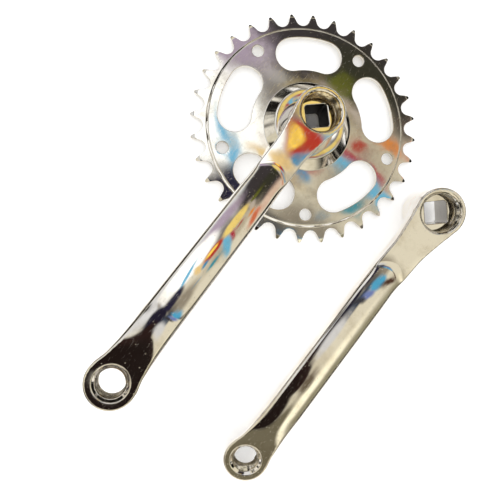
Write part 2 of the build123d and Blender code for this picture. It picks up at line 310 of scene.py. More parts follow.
def toothMesh():  # one tooth with its share of the rim
    shell = Shell()
    half = 180 / ring["teeth"]
    e = ring["toothEdge"]
    base = [tuple(onCircle(ring["rimEdge"], a)) for a in np.linspace(-half, half, columnsPerTooth + 1)]
    outline = toothLine(e)
    border = base + outline[::-1]
    bevelStart = ring["tip"] - ring["bevelLength"]
    lines = []
    bend = ring["bevelBend"]
    for radius in (bevelStart - bend, bevelStart, bevelStart + bend, bevelStart + 4 * bend):
        reach = [p for p in outline if math.hypot(*p) > radius]
        if not reach:
            continue
        width = math.degrees(math.atan2(max(abs(x) for x, y in reach), radius)) * 0.97
        lines.append([tuple(onCircle(radius, a)) for a in np.linspace(-width, width, 9)])

    def keep(centre, corners):
        if all(abs(c.length - ring["rimEdge"]) < touching for c in corners):
            return False
        return insidePolygon(centre, border)

    points, triangles = fillFlat([border], lines, keep)
    shell.flat(points, triangles, toothHeightRule(1))
    shell.flat(points, triangles, toothHeightRule(-1), flip=True)
    quarter = edgeSteps(e, 3)
    upper, lower = toothHeightRule(1), toothHeightRule(-1)
    rows = [[(x, y, upper(x, y) - drop) for x, y in toothLine(grow)] for grow, drop in quarter]
    rows += [[(x, y, lower(x, y) + drop) for x, y in toothLine(grow)] for grow, drop in quarter[::-1]]
    shell.rows(rows)
    return meshFrom("ringTooth", shell.points, shell.faces)


def insidePolygon(point, polygon):
    inside = False
    for (x1, y1), (x2, y2) in zip(polygon, polygon[1:] + polygon[:1]):
        if (y1 > point.y) != (y2 > point.y) and point.x < (x2 - x1) * (point.y - y1) / (y2 - y1) + x1:
            inside = not inside
    return inside


def ringTree():  # panels and teeth set round the axis and welded into one plate
    tree = bpy.data.node_groups.new("stampedRing", "GeometryNodeTree")
    tree.interface.new_socket("Geometry", in_out="INPUT", socket_type="NodeSocketGeometry")
    for name, kind in (("Panel", "NodeSocketObject"), ("Tooth", "NodeSocketObject"),
                       ("Panel count", "NodeSocketInt"), ("Tooth count", "NodeSocketInt"),
                       ("Weld distance", "NodeSocketFloat"), ("Metal", "NodeSocketMaterial")):
        tree.interface.new_socket(name, in_out="INPUT", socket_type=kind)
    tree.interface.new_socket("Geometry", in_out="OUTPUT", socket_type="NodeSocketGeometry")
    given = addNode(tree, "NodeGroupInput").outputs
    sets = []
    for source, count in (("Panel", "Panel count"), ("Tooth", "Tooth count")):
        part = addNode(tree, "GeometryNodeObjectInfo", {"Object": given[source]})
        spots = addNode(tree, "GeometryNodePoints", {"Count": given[count]})
        share = addNode(tree, "ShaderNodeMath", {0: 2 * math.pi, 1: given[count]}, operation="DIVIDE")
        index = addNode(tree, "GeometryNodeInputIndex")
        turn = addNode(tree, "ShaderNodeMath", {
            0: index.outputs[0], 1: share.outputs[0]}, operation="MULTIPLY")
        turns = addNode(tree, "ShaderNodeCombineXYZ", {"Z": turn.outputs[0]})
        sets.append(addNode(tree, "GeometryNodeInstanceOnPoints", {
            "Points": spots.outputs[0], "Instance": part.outputs["Geometry"],
            "Rotation": turns.outputs[0]}))
    joined = addNode(tree, "GeometryNodeJoinGeometry")
    for made in sets:
        tree.links.new(made.outputs[0], joined.inputs[0])
    real = addNode(tree, "GeometryNodeRealizeInstances", {"Geometry": joined.outputs[0]})
    welded = addNode(tree, "GeometryNodeMergeByDistance", {
        "Geometry": real.outputs[0], "Distance": given["Weld distance"]})
    metal = addNode(tree, "GeometryNodeSetMaterial", {
        "Geometry": welded.outputs[0], "Material": given["Metal"]})
    addNode(tree, "NodeGroupOutput", {0: metal.outputs[0]})
    return tree


def runTree(tree, inputs):  # the tree's result as a plain mesh
    holder = bpy.data.objects.new(tree.name + "Holder", bpy.data.meshes.new(tree.name + "Holder"))
    bpy.context.scene.collection.objects.link(holder)
    modifier = holder.modifiers.new("nodes", "NODES")
    modifier.node_group = tree
    for item in tree.interface.items_tree:
        if item.in_out == "INPUT" and item.name in inputs:
            modifier[item.identifier] = inputs[item.name]
    view = bpy.context.evaluated_depsgraph_get()
    mesh = bpy.data.meshes.new_from_object(holder.evaluated_get(view), depsgraph=view)
    holder.modifiers.clear()
    empty = holder.data
    bpy.data.objects.remove(holder)
    bpy.data.meshes.remove(empty)
    return mesh


def outwardFaces(mesh):
    work = bmesh.new()
    work.from_mesh(mesh)
    bmesh.ops.recalc_face_normals(work, faces=work.faces)
    work.to_mesh(mesh)
    work.free()


def flatKeepingNormals(mesh):  # corner normals weighed by face area, so that flat areas stay flat
    count = len(mesh.vertices)
    sums = np.zeros((count, 3))
    for polygon in mesh.polygons:
        push = np.array(polygon.normal) * polygon.area
        for v in polygon.vertices:
            sums[v] += push
    lengths = np.linalg.norm(sums, axis=1, keepdims=True)
    mesh.normals_split_custom_set_from_vertices((sums / np.maximum(lengths, 1e-20)).tolist())


def buildChainring(metal):
    helpers = []
    for mesh in (panelMesh(), toothMesh()):
        helper = bpy.data.objects.new(mesh.name, mesh)
        bpy.context.scene.collection.objects.link(helper)
        helpers.append(helper)
    mesh = runTree(ringTree(), {
        "Panel": helpers[0], "Tooth": helpers[1], "Panel count": ring["panels"],
        "Tooth count": ring["teeth"], "Weld distance": ring["weld"] * mm, "Metal": metal})
    for helper in helpers:
        data = helper.data
        bpy.data.objects.remove(helper)
        bpy.data.meshes.remove(data)
    mesh.name = "chainring_plate"
    outwardFaces(mesh)
    piece = finishPiece("chainring_plate", mesh, metal, "right_crank")
    flatKeepingNormals(mesh)
    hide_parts("chainring")
    print("chainring:", len(mesh.polygons), "faces,", openEdgeCount(mesh), "open edges")


def openEdgeCount(mesh):
    work = bmesh.new()
    work.from_mesh(mesh)
    count = sum(not e.is_manifold for e in work.edges)
    work.free()
    return count


arm = dict(
    length=170.0, offset=20.0,
    bossRadius=13.9, bossTaper=1.0, bossLength=26.5, bossRim=0.75, bossEnd=0.5,
    eyeRadius=12.2, eyeThickness=10.0, eyeSide=3.0, eyeTaper=2.6, eyeRim=1.1, eyeEnd=0.4,
    barHalf=9.8, webHalf=9.4, webLength=37.0, bendLength=5.0, curveLength=26.0, levelLength=15.0,
    bossThickness=12.2, eyeThicknessOfBar=9.5, backRound=1.6, draft=1.0, eyeDraft=2.4,
    webCrown=0.12, barCrown=0.95, crownHalf=8.0, webShoulder=0.9, barShoulder=2.4,
    fillet=5.0, neckFillet=7.0, bendSoft=0.5,
    extractorRadius=11.0, extractorDepth=7.8, extractorChamfer=0.8,
    across=12.6, taper=2.0, squareCorner=1.6,
    pedalRadius=7.15, pedalChamfer=1.45, pedalBackChamfer=0.75,
    seatShoulder=0.7, lipHeight=0.5, lipLength=1.2, spigotTail=0.6, serrations=36, serrationDepth=0.3,
    bossMargin=1.4, flareLength=16.0, barStart=2.9, eyeLap=4.0, neckWiden=0.8, backSet=0.15, draftStart=2.0,
    bossLap=14.0, bossFillet=2.0, lipRound=0.45, seatGap=0.02, spigotLap=1.0,
    boreRound=0.25, mouthRound=0.22, socketRound=0.3,
    # stretches along the arm, from and to, in which something grows or fades
    webCrowns=(14, 30), shoulderGrows=(40, 52), widens=(42, 64), slopes=(42, 146), crownFades=(138, 160),
    shoulderFades=(146, 162), rimGrows=(150, 162), draftGrows=(150, 166), neck=(152, 166), joins=(1, 9),
    cell=0.52,
)
arm["slope"] = arm["offset"] / (arm["length"] - arm["levelLength"] - arm["webLength"]
                                - arm["bendLength"] / 2 - arm["curveLength"] / 2)
arm["spigotLength"] = ring["plate"] + arm["lipLength"] + arm["spigotTail"]
arm["bossEndRadius"] = arm["bossRadius"] - arm["bossTaper"]
arm["spigotRadius"] = arm["bossEndRadius"] - arm["seatShoulder"]
bossFaceHeight = ring["cupFace"] - arm["spigotLength"] + arm["bossLength"]


def smoothStep(x, low, high):
    t = np.clip((x - low) / (high - low), 0, 1)
    return t * t * (3 - 2 * t)


def blendUnion(a, b, k):  # union of two distances with a fillet
    h = np.clip(0.5 + 0.5 * (b - a) / k, 0, 1)
    return b + (a - b) * h - k * h * (1 - h)


def roundBoth(a, b, r):  # inside both, with an edge rounded by r
    return np.minimum(-r, np.maximum(a, b)) + np.hypot(np.maximum(a + r, 0), np.maximum(b + r, 0))


def topRise(a):  # rise of the bar's middle line above the web, before the bend is blended
    riseEnd = arm["length"] - arm["levelLength"]
    start = arm["webLength"] + arm["bendLength"] / 2
    left = np.maximum(riseEnd - a, 0)
    fade = arm["offset"] - arm["slope"] * left * left / (2 * arm["curveLength"])
    return np.where(left < arm["curveLength"], fade, arm["slope"] * (a - start))


def armTop(a, c):  # height of the outboard surface, flat at the web, crowned along the bar
    crown = arm["barCrown"] * (1 - smoothStep(a, *arm["crownFades"])) * (c / arm["crownHalf"]) ** 2
    web = -arm["webCrown"] * smoothStep(a, *arm["webCrowns"]) * (c / arm["crownHalf"]) ** 2
    bar = topRise(a) - crown
    return -blendUnion(-web, -bar, arm["bendSoft"])


def barHalfWidth(a):
    flared = smoothStep(a, arm["barStart"], arm["bossRadius"] + arm["flareLength"])
    flare = (arm["bossRadius"] - arm["bossMargin"] - arm["webHalf"]) * (1 - flared)
    wide = (arm["barHalf"] - arm["webHalf"]) * smoothStep(a, *arm["widens"])
    neck = arm["neckWiden"] * smoothStep(a, *arm["neck"])
    return arm["webHalf"] + flare + wide + neck


def armDistance(x, y, z, right):  # signed distance to the arm, its boss face at z = 0
    a = -y
    radial = np.hypot(x, y)
    bossSide = (radial - (arm["bossRadius"] + arm["bossTaper"] * np.minimum(z, 0) / arm["bossLength"]))
    boss = roundBoth(bossSide, -arm["bossLength"] - z, arm["bossEnd"])
    eyeFace = arm["offset"]
    depth = np.clip((eyeFace - arm["eyeSide"] - z) / (arm["eyeThickness"] - arm["eyeSide"]), 0, 1.05)
    eyeSide = np.hypot(x, y + arm["length"]) - (arm["eyeRadius"] - arm["eyeTaper"] * depth)
    eye = roundBoth(eyeSide, eyeFace - arm["eyeThickness"] - z, arm["eyeEnd"])
    centreTop = np.where(a < arm["webLength"] + arm["bendLength"] / 2, 0, topRise(a))
    thickness = arm["bossThickness"] + (arm["eyeThicknessOfBar"] - arm["bossThickness"]) * a / arm["length"]
    steep = np.where((a > arm["slopes"][0]) & (a < arm["slopes"][1]), 1 / math.hypot(1, arm["slope"]), 1.0)
    under = (centreTop - arm["backSet"] - thickness - z) * steep
    draft = arm["draft"] + (arm["eyeDraft"] - arm["draft"]) * smoothStep(a, *arm["draftGrows"])
    fall = np.clip((centreTop - arm["draftStart"] - z) / (thickness - arm["draftStart"]), 0, 1.1)
    side = np.abs(x) - (barHalfWidth(a) - draft * fall)
    bar = roundBoth(side, under, arm["backRound"])
    bar = np.maximum(bar, np.maximum(arm["barStart"] - a, a - arm["length"] + arm["eyeLap"]))
    joined = 0.02 + smoothStep(a, *arm["joins"])  # no fillet where the bar meets the widest of the boss
    body = blendUnion(boss, bar, arm["fillet"] * 0.55 * joined)
    body = blendUnion(body, eye, arm["neckFillet"] * 0.35)
    tight = np.minimum(body, blendUnion(boss, bar, arm["bossFillet"] * joined))
    body = np.where(a < arm["bossLap"], tight, body)
    onBar = smoothStep(a, *arm["shoulderGrows"]) * (1 - smoothStep(a, *arm["shoulderFades"]))
    shoulder = arm["webShoulder"] + (arm["barShoulder"] - arm["webShoulder"]) * onBar
    shoulder = shoulder + (arm["eyeRim"] - arm["webShoulder"]) * smoothStep(a, *arm["rimGrows"])
    top = (z - armTop(a, x)) * steep
    body = roundBoth(body, top, shoulder)
    if right:
        seat = bossFaceHeight - arm["bossLength"]
        local = z + bossFaceHeight
        serration = arm["serrationDepth"] * 0.5 * (1 + np.cos(arm["serrations"] * np.arctan2(y, x)))
        spigot = radial - (arm["spigotRadius"] - serration)
        spigot = np.maximum(spigot, seat - local)
        lipTop = ring["cupFace"] - ring["plate"]
        lipSide = radial - (arm["spigotRadius"] + arm["lipHeight"])
        lip = roundBoth(lipSide, np.abs(local - lipTop + arm["lipLength"] / 2) - arm["lipLength"] / 2,
                       arm["lipRound"])
        upper = np.maximum(body, ring["cupFace"] + arm["seatGap"] - local)
        lower = np.maximum(spigot, local - ring["cupFace"] - arm["spigotLap"])
        body = np.minimum(np.minimum(upper, lower), lip)
    return carve(body, x, y, z)


def carve(body, x, y, z):  # the extractor bore, the square socket and the pedal hole
    radial = np.hypot(x, y)
    flare = np.maximum(z + arm["extractorChamfer"], 0)
    bore = roundBoth(radial - arm["extractorRadius"] - flare, -arm["extractorDepth"] - z, arm["boreRound"])
    turned = np.stack([(x + y), (x - y)]) / math.sqrt(2)
    lean = math.tan(math.radians(arm["taper"]))
    half = arm["across"] / 2 + np.maximum(-z - arm["extractorDepth"], 0) * lean
    square = roundBoth(np.abs(turned[0]) - half, np.abs(turned[1]) - half, arm["squareCorner"])
    pedalRadial = np.hypot(x, y + arm["length"])
    mouth = np.maximum(z - arm["offset"] + arm["pedalChamfer"], 0)
    backMouth = np.maximum(arm["offset"] - arm["eyeThickness"] + arm["pedalBackChamfer"] - z, 0)
    pedal = (pedalRadial - arm["pedalRadius"] - mouth - backMouth) * 0.8
    body = roundBoth(body, -bore, arm["mouthRound"])
    body = roundBoth(body, -square, arm["socketRound"])
    return roundBoth(body, -pedal, arm["mouthRound"])


def surfaceMesh(distance, low, high, cell):  # points and quads where the distance is zero
    axes = [np.arange(lo - cell, hi + 2 * cell, cell) for lo, hi in zip(low, high)]
    grid = np.meshgrid(*axes, indexing="ij", sparse=False)
    values = distance(*grid).astype(np.float64)
    inside = values < 0
    shape = np.array(values.shape) - 1
    sums = np.zeros((*shape, 3))
    hits = np.zeros(shape, int)
    corners = [(i, j, k) for i in (0, 1) for j in (0, 1) for k in (0, 1)]
    view = lambda source, o: source[o[0]:o[0] + shape[0], o[1]:o[1] + shape[1], o[2]:o[2] + shape[2]]
    for one in corners:
        for axis in range(3):
            if one[axis]:
                continue
            two = tuple(v + (n == axis) for n, v in enumerate(one))
            a, b = view(values, one), view(values, two)
            crossed = (a < 0) != (b < 0)
            t = np.where(crossed, a / np.where(crossed, a - b, 1), 0)
            offset = [np.full(shape, float(v)) for v in one]
            offset[axis] = offset[axis] + t
            for n in range(3):
                sums[..., n] += np.where(crossed, offset[n], 0)
            hits += crossed
    used = hits > 0
    number = np.full(shape, -1)
    number[used] = np.arange(used.sum())
    where = np.argwhere(used)
    points = where + sums[used] / hits[used][:, None]
    points = np.array([axes[n][0] for n in range(3)]) + points * cell
    quads = []
    for axis in range(3):
        u, v = [n for n in range(3) if n != axis]
        a = inside[tuple(slice(0, -1) if n == axis else slice(None) for n in range(3))]
        b = inside[tuple(slice(1, None) if n == axis else slice(None) for n in range(3))]
        spots = np.argwhere(a != b)
        within = (spots[:, [u, v]] > 0) & (spots[:, [u, v]] < shape[[u, v]])
        spots = spots[within.all(axis=1)]
        back = lambda du, dv: spots - np.array([du if n == u else dv if n == v else 0 for n in range(3)])
        ids = [number[tuple(back(du, dv).T)] for du, dv in ((1, 1), (0, 1), (0, 0), (1, 0))]
        quad = np.stack(ids, 1)
        outwards = a[tuple(spots.T)] ^ (axis == 1)
        quads.append(np.where(outwards[:, None], quad, quad[:, ::-1]))
    return points, np.concatenate(quads)


def settle(distance, points, rounds=4, step=0.02):  # moves points onto the surface; also gives the normals
    for turn in range(rounds + 1):
        slope = np.stack([
            distance(*(points + step * np.eye(3)[n]).T) - distance(*(points - step * np.eye(3)[n]).T)
            for n in range(3)], 1) / (2 * step)
        size = np.maximum(np.linalg.norm(slope, axis=1), 1e-6)
        if turn < rounds:
            move = distance(*points.T)[:, None] * slope / (size ** 2)[:, None]
            length = np.linalg.norm(move, axis=1, keepdims=True)
            points = points - move * np.minimum(1, 0.3 / np.maximum(length, 1e-9))
    return points, slope / size[:, None]


def buildArm(name, node, body, right, place, metal):  # one forged arm, put where its CAD node is
    distance = lambda x, y, z: armDistance(x, y, z, right)
    reach = arm["bossRadius"] + 0.3
    low = (-reach, -arm["length"] - arm["eyeRadius"] - 0.3, -arm["bossLength"] - 0.3)
    high = (reach, reach, arm["offset"] + 0.3)
    points, quads = surfaceMesh(distance, low, high, arm["cell"])
    points, normals = settle(distance, points)
    # painted shade in the square socket: full strength on the right crank, whose socket the chainring closes
    # off from below, and 0.45 on the left
    socket = (smoothStep(-points[:, 2], arm["extractorDepth"] + 0.1, arm["extractorDepth"] + 0.7)
              * (np.hypot(points[:, 0], points[:, 1]) < arm["across"] * 0.75)) * (1.0 if right else 0.45)
    points = points @ np.array(place.to_3x3()).T + np.array(place.translation)
    normals = normals @ np.array(place.to_3x3()).T
    mesh = bpy.data.meshes.new(name)
    mesh.from_pydata((points * mm).tolist(), [], quads.tolist())
    piece = finishPiece(name, mesh, metal, body)
    mesh.normals_split_custom_set_from_vertices(normals.tolist())
    mesh.attributes.new("socket", "FLOAT", "POINT").data.foreach_set("value", socket.astype(np.float32))
    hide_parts(node)
    print(name, len(quads), "quads,", openEdgeCount(mesh), "open edges")
    return piece


threads = dict(
    extractor=dict(radius=arm["extractorRadius"], pitch=1.0, depth=0.5, first=1.2, last=7.2, turn=1),
    rightPedal=dict(radius=arm["pedalRadius"], pitch=1.27, depth=0.6, first=1.7, last=9.2, turn=1),
    leftPedal=dict(radius=arm["pedalRadius"], pitch=1.27, depth=0.6, first=1.7, last=9.2, turn=-1),
)


def threadTree():  # a V-shaped ridge wound inside a bore
    tree = bpy.data.node_groups.new("threadRidge", "GeometryNodeTree")
    tree.interface.new_socket("Geometry", in_out="INPUT", socket_type="NodeSocketGeometry")
    for name, kind in (("Bore radius", "NodeSocketFloat"), ("Turns", "NodeSocketFloat"),
                       ("Height", "NodeSocketFloat"), ("Ridge depth", "NodeSocketFloat"),
                       ("Ridge width", "NodeSocketFloat"), ("Ridge tip", "NodeSocketFloat"),
                       ("Left hand", "NodeSocketBool"),
                       ("Metal", "NodeSocketMaterial")):
        tree.interface.new_socket(name, in_out="INPUT", socket_type=kind)
    tree.interface.new_socket("Geometry", in_out="OUTPUT", socket_type="NodeSocketGeometry")
    given = addNode(tree, "NodeGroupInput").outputs
    helix = addNode(tree, "GeometryNodeCurveSpiral", {
        "Resolution": 72, "Rotations": given["Turns"], "Start Radius": given["Bore radius"],
        "End Radius": given["Bore radius"], "Height": given["Height"], "Reverse": given["Left hand"]})
    upright = addNode(tree, "GeometryNodeSetCurveNormal", {"Curve": helix.outputs[0]}, mode="Z_UP")
    profile = addNode(tree, "GeometryNodeCurvePrimitiveQuadrilateral", {
        "Bottom Width": given["Ridge tip"], "Top Width": given["Ridge width"],
        "Height": given["Ridge depth"], "Offset": 0.0}, mode="TRAPEZOID")
    swept = addNode(tree, "GeometryNodeCurveToMesh", {
        "Curve": upright.outputs[0], "Profile Curve": profile.outputs[0], "Fill Caps": True})
    metal = addNode(tree, "GeometryNodeSetMaterial", {
        "Geometry": swept.outputs[0], "Material": given["Metal"]})
    addNode(tree, "NodeGroupOutput", {0: metal.outputs[0]})
    return tree


def buildThread(name, body, size, place, metal, tree):
    turns = (size["last"] - size["first"]) / size["pitch"]
    mesh = runTree(tree, {
        "Bore radius": (size["radius"] - size["depth"] / 2 + 0.04) * mm, "Turns": turns,
        "Height": turns * size["pitch"] * mm, "Ridge depth": size["depth"] * mm,
        "Ridge width": size["pitch"] * 0.96 * mm, "Ridge tip": size["pitch"] * 0.18 * mm,
        "Left hand": size["turn"] < 0, "Metal": metal})
    mesh.transform(place @ Matrix.Translation((0, 0, -size["last"] * mm)))
    outwardFaces(mesh)
    mesh.name = name
    piece = finishPiece(name, mesh, metal, body)
    mesh.polygons.foreach_set("use_smooth", [False] * len(mesh.polygons))
    mesh.set_sharp_from_angle(angle=math.radians(50))
    mesh.polygons.foreach_set("use_smooth", [True] * len(mesh.polygons))
    print(name, len(mesh.polygons), "faces,", openEdgeCount(mesh), "open edges")
    return piece


lay = dict(gap=4.3, leftY=0.4, leftTurn=-0.86)      # gap is from the tips of the teeth to the left boss


def leftPlace():  # the left crank leans on the end of its boss and on the back of its eye
    bossEdge = arm["bossEndRadius"] - arm["bossEnd"]
    drop = arm["bossLength"] + arm["offset"] - arm["eyeThickness"]
    reach = arm["length"] + arm["eyeRadius"] - arm["eyeTaper"] - arm["eyeEnd"] - bossEdge
    tilt = math.atan2(drop, reach)
    foot = arm["bossLength"] * math.cos(tilt) + bossEdge * math.sin(tilt)
    spot = Vector((ring["tip"] + lay["gap"] + arm["bossRadius"], lay["leftY"], ring["back"] + foot))
    return (Matrix.Translation(spot) @ Matrix.Rotation(math.radians(lay["leftTurn"]), 4, "Z")
            @ Matrix.Rotation(tilt, 4, "X"))


def inMetres(place):
    moved = place.copy()
    moved.translation = place.translation * mm
    return moved


rightPlace = Matrix.Translation((0, 0, bossFaceHeight))


# Chrome-plated forged steel, polished before plating and knocked about since. The plating is a mirror
# with a faint warm haze, long soft waves from the hand polishing, hairline scratches and pin pits.
forgedChrome = dict(
    colour="#efeae2", haze="#dcd4c8", roughest=0.085, smoothest=0.03,
    waveLength=12.0, waveDepth=0.04, scratchWidth=0.09, scratchLength=8.0, scratchDepth=0.004,
    pitSpacing=1.6, pitSize=0.2, pitDepth=0.1, smudge=16.0,
)
# Chrome-plated stamped steel: the same plating on sheet, a little duller, waved by the press and
# scratched every way by the chain.
stampedChrome = dict(
    colour="#e8e4dc", haze="#cfc9be", roughest=0.12, smoothest=0.05,
    waveLength=17.0, waveDepth=0.06, scratchWidth=0.12, scratchLength=6.0, scratchDepth=0.005,
    pitSpacing=2.1, pitSize=0.18, pitDepth=0.1, smudge=12.0,
)
# Cut thread under thin plating, where grease has left a brassy film in the roots.
greasyThread = dict(
    colour="#e2d6bc", haze="#8f7b5a", roughest=0.26, smoothest=0.1,
    waveLength=2.5, waveDepth=0.012, scratchWidth=0.12, scratchLength=2.0, scratchDepth=0.006,
    pitSpacing=0.9, pitSize=0.14, pitDepth=0.03, smudge=2.2,
)
# The same thread wiped clean: grey, and less bright than the faces round it.
cleanThread = dict(greasyThread, colour="#e4e0d8", haze="#a8a49c", roughest=0.18)
# The broached walls of the square socket, which polish and plating hardly reach, so they are rough; their
# near-black colour is partly painted shade of the deep recess.
broachedAndShaded = dict(colour="#24211e", roughness=0.42)
pitsLeftOut = 0.5    # share of the cells that hold no pit
cutRoughness = 0.5   # the floor of a scratch or a pit is frosty


def perMetre(size):  # a pattern's scale from the real size in millimetres
    return 1 / (size * mm)


def platedMetal(name, look, scratchTurns):
    material = bpy.data.materials.new(name)
    material.use_nodes = True
    tree = material.node_tree
    shader = tree.nodes["Principled BSDF"]
    shader.inputs["Metallic"].default_value = 1.0
    place = addNode(tree, "ShaderNodeTexCoord").outputs["Object"]
    smudge = addNode(tree, "ShaderNodeTexNoise", {
        "Vector": place, "Scale": perMetre(look["smudge"]), "Detail": 5.0, "Roughness": 0.6})
    smudged = addNode(tree, "ShaderNodeMapRange", {
        "Value": smudge.outputs[0], "From Min": 0.42, "From Max": 0.72}, interpolation_type="SMOOTHSTEP")
    wave = addNode(tree, "ShaderNodeTexNoise", {
        "Vector": place, "Scale": perMetre(look["waveLength"]), "Detail": 1.5, "Roughness": 0.45})
    height = addNode(tree, "ShaderNodeBump", {
        "Height": wave.outputs[0], "Strength": 1.0, "Distance": look["waveDepth"] * mm})
    marks = smudged.outputs[0]
    cuts = None
    for turn in scratchTurns:  # hairlines: noise drawn out along the way the piece was rubbed
        along = addNode(tree, "ShaderNodeMapping", {
            "Vector": place, "Rotation": (0, 0, math.radians(turn)),
            "Scale": (perMetre(look["scratchWidth"]), perMetre(look["scratchLength"]),
                      perMetre(look["scratchWidth"]) * 0.1)})
        hair = addNode(tree, "ShaderNodeTexNoise", {
            "Vector": along.outputs[0], "Scale": 1.0, "Detail": 2.0})
        line = addNode(tree, "ShaderNodeMapRange", {
            "Value": hair.outputs[0], "From Min": 0.7, "From Max": 0.78})
        height = addNode(tree, "ShaderNodeBump", {
            "Height": line.outputs[0], "Strength": 1.0, "Distance": look["scratchDepth"] * mm,
            "Normal": height.outputs[0]}, invert=True)
        marks = addNode(
            tree, "ShaderNodeMath", {0: marks, 1: line.outputs[0]}, operation="MAXIMUM").outputs[0]
        cuts = line.outputs[0] if cuts is None else addNode(
            tree, "ShaderNodeMath", {0: cuts, 1: line.outputs[0]}, operation="MAXIMUM").outputs[0]
    pits = addNode(tree, "ShaderNodeTexVoronoi", {
        "Vector": place, "Scale": perMetre(look["pitSpacing"]), "Randomness": 1.0})
    pitDepth = addNode(tree, "ShaderNodeMapRange", {
        "Value": pits.outputs["Distance"], "From Max": 0.0,
        "From Min": look["pitSize"] / look["pitSpacing"]})
    kept = addNode(tree, "ShaderNodeSeparateColor", {"Color": pits.outputs["Color"]})
    some = addNode(tree, "ShaderNodeMath", {0: kept.outputs[0], 1: pitsLeftOut}, operation="GREATER_THAN")
    pit = addNode(tree, "ShaderNodeMath", {
        0: pitDepth.outputs[0], 1: some.outputs[0]}, operation="MULTIPLY")
    height = addNode(tree, "ShaderNodeBump", {
        "Height": pit.outputs[0], "Strength": 1.0, "Distance": look["pitDepth"] * mm,
        "Normal": height.outputs[0]}, invert=True)
    colour = addNode(tree, "ShaderNodeMix", {
        0: marks, 6: linear(look["colour"]), 7: linear(look["haze"])}, data_type="RGBA")
    rough = addNode(tree, "ShaderNodeMapRange", {
        "Value": marks, "To Min": look["smoothest"], "To Max": look["roughest"]})
    cuts = addNode(tree, "ShaderNodeMath", {0: cuts, 1: pit.outputs[0]}, operation="MAXIMUM")
    torn = addNode(tree, "ShaderNodeMath", {0: cuts.outputs[0], 1: cutRoughness}, operation="MULTIPLY")
    rough = addNode(tree, "ShaderNodeMath", {0: rough.outputs[0], 1: torn.outputs[0]}, operation="MAXIMUM")
    # the socket's walls: rough from the broach, and darkened to near-black as painted shade
    inSocket = addNode(tree, "ShaderNodeAttribute", attribute_name="socket").outputs["Fac"]
    socketColourWithShade = addNode(tree, "ShaderNodeMix", {
        0: inSocket, 6: colour.outputs[2], 7: linear(broachedAndShaded["colour"])}, data_type="RGBA")
    rougher = addNode(tree, "ShaderNodeMix", {0: inSocket, 2: rough.outputs[0], 3: broachedAndShaded["roughness"]})
    tree.links.new(socketColourWithShade.outputs[2], shader.inputs["Base Color"])
    tree.links.new(rougher.outputs[0], shader.inputs["Roughness"])
    tree.links.new(height.outputs[0], shader.inputs["Normal"])
    return material


forged = platedMetal("chromePlatedForgedSteel", forgedChrome, (4, -9))
stamped = platedMetal("chromePlatedStampedSteel", stampedChrome, (25, -40, 80))
greasy = platedMetal("chromePlatedCutThreadGreasy", greasyThread, (90,))
wiped = platedMetal("chromePlatedCutThreadWiped", cleanThread, (90,))
print("plating made")
buildChainring(stamped)
buildArm("right_crank_forging", "right_crank_arm", "right_crank", True, rightPlace, forged)
buildArm("left_crank_forging", "left_crank_arm", "left_crank", False, leftPlace(), forged)
ridge = threadTree()
eyeSpot = Matrix.Translation((0, -arm["length"] * mm, arm["offset"] * mm))
rightSpot, leftSpot = inMetres(rightPlace), inMetres(leftPlace())
for side, spot, film in (("right", rightSpot, greasy), ("left", leftSpot, wiped)):
    buildThread(side + "_extractor_ridge", side + "_crank", threads["extractor"], spot, film, ridge)
for side, spot in (("right", rightSpot), ("left", leftSpot)):
    buildThread(side + "_pedal_ridge", side + "_crank", threads[side + "Pedal"], spot @ eyeSpot, wiped, ridge)
